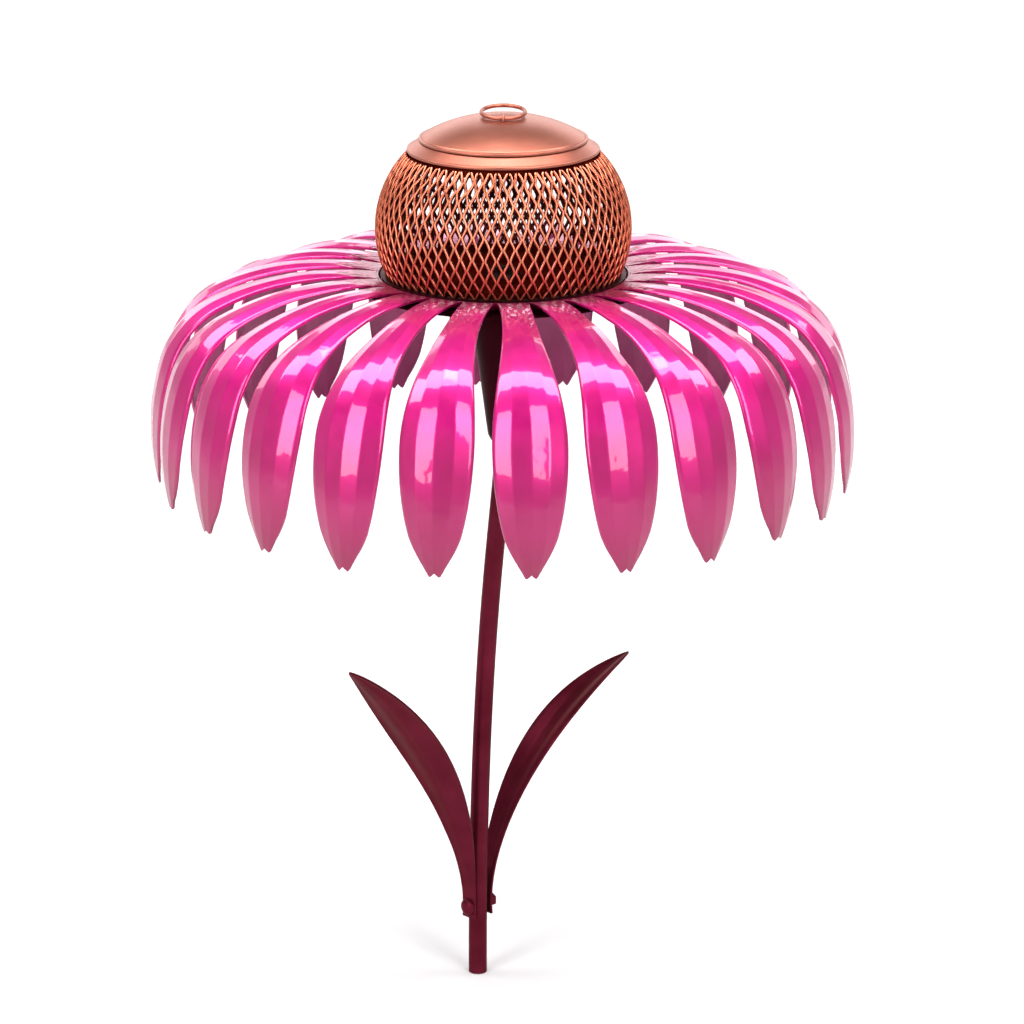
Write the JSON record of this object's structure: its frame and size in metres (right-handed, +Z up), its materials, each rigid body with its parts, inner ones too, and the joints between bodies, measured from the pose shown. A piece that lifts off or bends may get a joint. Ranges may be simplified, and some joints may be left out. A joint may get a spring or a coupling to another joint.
{
  "type": "bird feeder on pole",
  "caption": "Coneflower-shaped metal bird feeder on a bent pole: mesh seed basket with lift-off domed lid and ring pull, drooping pink petals and two leaves.",
  "frame": {"origin": "centre of the pole's open foot, in the plane of its end face", "axes": "+Z up the pole, -Y towards the front of the lid's eye, +X the way the pole bends"},
  "size_m": [0.3528, 0.3528, 0.4592],
  "materials": {
    "dark_paint": "satin dark maroon paint",
    "pink_paint": "glossy metallic magenta lacquer",
    "copper_finish": "satin metallic copper finish on steel",
    "steel": "zinc-plated"
  },
  "bodies": {
    "feeder": {"pole": "dark_paint", "leaf_left": "dark_paint", "leaf_right": "dark_paint", "leaf_bolt": "dark_paint", "leaf_nut": "dark_paint", "neck": "dark_paint", "backing_plate": "dark_paint", "head_bolt": "steel", "head_nut": "steel", "petal_ring": "pink_paint", "petal_01": "pink_paint", "petal_02": "pink_paint", "petal_03": "pink_paint", "petal_04": "pink_paint", "petal_05": "pink_paint", "petal_06": "pink_paint", "petal_07": "pink_paint", "petal_08": "pink_paint", "petal_09": "pink_paint", "petal_10": "pink_paint", "petal_11": "pink_paint", "petal_12": "pink_paint", "petal_13": "pink_paint", "petal_14": "pink_paint", "petal_15": "pink_paint", "petal_16": "pink_paint", "petal_17": "pink_paint", "petal_18": "pink_paint", "petal_19": "pink_paint", "petal_20": "pink_paint", "petal_21": "pink_paint", "petal_22": "pink_paint", "petal_23": "pink_paint", "petal_24": "pink_paint", "basket_floor": "copper_finish", "basket": "copper_finish", "collar": "copper_finish"},
    "lid": {"lid": "copper_finish", "lid_eye": "copper_finish"},
    "ring_pull": {"ring_pull": "copper_finish"}
  },
  "joints": [
    {"name": "lid_lift", "type": "slide", "parent": "feeder", "child": "lid", "axis": [0, 0, 1], "range_m": [0, 0.06]},
    {"name": "ring_pull_swing", "type": "hinge", "parent": "lid", "child": "ring_pull", "pos_m": [0.0136, -0.0108, 0.4559], "axis": [1, 0, 0], "range_deg": [0, 165]}
  ]
}
